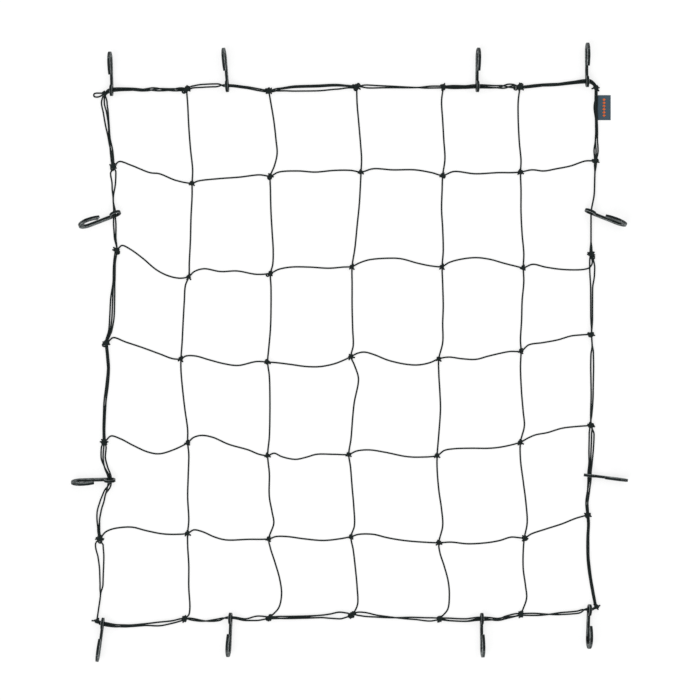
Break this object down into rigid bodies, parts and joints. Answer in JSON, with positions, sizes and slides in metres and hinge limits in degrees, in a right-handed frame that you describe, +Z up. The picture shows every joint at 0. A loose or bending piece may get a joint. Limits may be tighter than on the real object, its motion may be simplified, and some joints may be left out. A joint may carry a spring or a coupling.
{
  "type": "elastic cargo net",
  "caption": "Square-mesh elastic cord tie-down net with knotted crossings, a bundled cord border, moulded J hooks threaded on the border, and a small tape label.",
  "frame": {"origin": "on the floor that the net lies on, at the middle of the box round the whole net with its hooks", "axes": "+Z up from the floor, +Y to the top side of the net in the picture, +X to its right side"},
  "size_m": [1.0017, 1.1137, 0.0363],
  "materials": {
    "cord": "braided cover with a faint sheen",
    "hook_plastic": "satin moulded plastic",
    "label_tape": "woven tape"
  },
  "bodies": {
    "net": {"cord_v1": "cord", "cord_v2": "cord", "cord_v3": "cord", "cord_v4": "cord", "cord_v5": "cord", "cord_h1": "cord", "cord_h2": "cord", "cord_h3": "cord", "cord_h4": "cord", "cord_h5": "cord", "top_strand_a": "cord", "top_strand_b": "cord", "top_strand_c": "cord", "right_strand_a": "cord", "right_strand_b": "cord", "right_strand_c": "cord", "bottom_strand_a": "cord", "bottom_strand_b": "cord", "bottom_strand_c": "cord", "left_strand_a": "cord", "left_strand_b": "cord", "left_strand_c": "cord", "corner_loop": "cord", "knots_row_1": "cord", "knots_row_2": "cord", "knots_row_3": "cord", "knots_row_4": "cord", "knots_row_5": "cord", "knots_top": "cord", "knots_right": "cord", "knots_bottom": "cord", "knots_left": "cord", "knots_corner": "cord", "label": "label_tape"},
    "hook_top_1": {"hook_top_1": "hook_plastic"},
    "hook_top_2": {"hook_top_2": "hook_plastic"},
    "hook_top_3": {"hook_top_3": "hook_plastic"},
    "hook_top_4": {"hook_top_4": "hook_plastic"},
    "hook_bottom_1": {"hook_bottom_1": "hook_plastic"},
    "hook_bottom_2": {"hook_bottom_2": "hook_plastic"},
    "hook_bottom_3": {"hook_bottom_3": "hook_plastic"},
    "hook_bottom_4": {"hook_bottom_4": "hook_plastic"},
    "hook_left_1": {"hook_left_1": "hook_plastic"},
    "hook_left_2": {"hook_left_2": "hook_plastic"},
    "hook_right_1": {"hook_right_1": "hook_plastic"},
    "hook_right_2": {"hook_right_2": "hook_plastic"}
  },
  "joints": [
    {"name": "hook_top_1_turn", "type": "hinge", "parent": "net", "child": "hook_top_1", "pos_m": [-0.4284, 0.4713, 0.01073], "axis": [0.9922, 0.026, 0.1219], "continuous": true},
    {"name": "hook_top_2_turn", "type": "hinge", "parent": "net", "child": "hook_top_2", "pos_m": [-0.2204, 0.4783, 0.01073], "axis": [0.9895, 0.0779, 0.1219], "continuous": true},
    {"name": "hook_top_3_turn", "type": "hinge", "parent": "net", "child": "hook_top_3", "pos_m": [0.2301, 0.4783, 0.01075], "axis": [0.9902, -0.0086, -0.1392], "continuous": true},
    {"name": "hook_top_4_turn", "type": "hinge", "parent": "net", "child": "hook_top_4", "pos_m": [0.4276, 0.4873, 0.01073], "axis": [0.9925, 0.0087, -0.1219], "continuous": true},
    {"name": "hook_bottom_1_turn", "type": "hinge", "parent": "net", "child": "hook_bottom_1", "pos_m": [-0.4444, -0.4877, 0.01065], "axis": [-0.989, 0.1302, -0.0698], "continuous": true},
    {"name": "hook_bottom_2_turn", "type": "hinge", "parent": "net", "child": "hook_bottom_2", "pos_m": [-0.2144, -0.4787, 0.01076], "axis": [-0.9867, 0.0431, -0.1564], "continuous": true},
    {"name": "hook_bottom_3_turn", "type": "hinge", "parent": "net", "child": "hook_bottom_3", "pos_m": [0.2381, -0.4792, 0.01073], "axis": [-0.9925, -0.0087, 0.1219], "continuous": true},
    {"name": "hook_bottom_4_turn", "type": "hinge", "parent": "net", "child": "hook_bottom_4", "pos_m": [0.4316, -0.4637, 0.01079], "axis": [-0.9776, 0.0341, 0.2079], "range_deg": [-130, 140]},
    {"name": "hook_left_1_turn", "type": "hinge", "parent": "net", "child": "hook_left_1", "pos_m": [-0.4214, 0.2488, 0.01072], "axis": [-0.3368, 0.8773, -0.342], "continuous": true},
    {"name": "hook_left_2_turn", "type": "hinge", "parent": "net", "child": "hook_left_2", "pos_m": [-0.4314, -0.2302, 0.01079], "axis": [-0.0254, 0.97, 0.2419], "continuous": true},
    {"name": "hook_right_1_turn", "type": "hinge", "parent": "net", "child": "hook_right_1", "pos_m": [0.4331, 0.2528, 0.01079], "axis": [-0.3585, -0.9101, 0.2079], "continuous": true},
    {"name": "hook_right_2_turn", "type": "hinge", "parent": "net", "child": "hook_right_2", "pos_m": [0.4316, -0.2217, 0.01058], "axis": [-0.1218, -0.9919, -0.0349], "continuous": true}
  ]
}
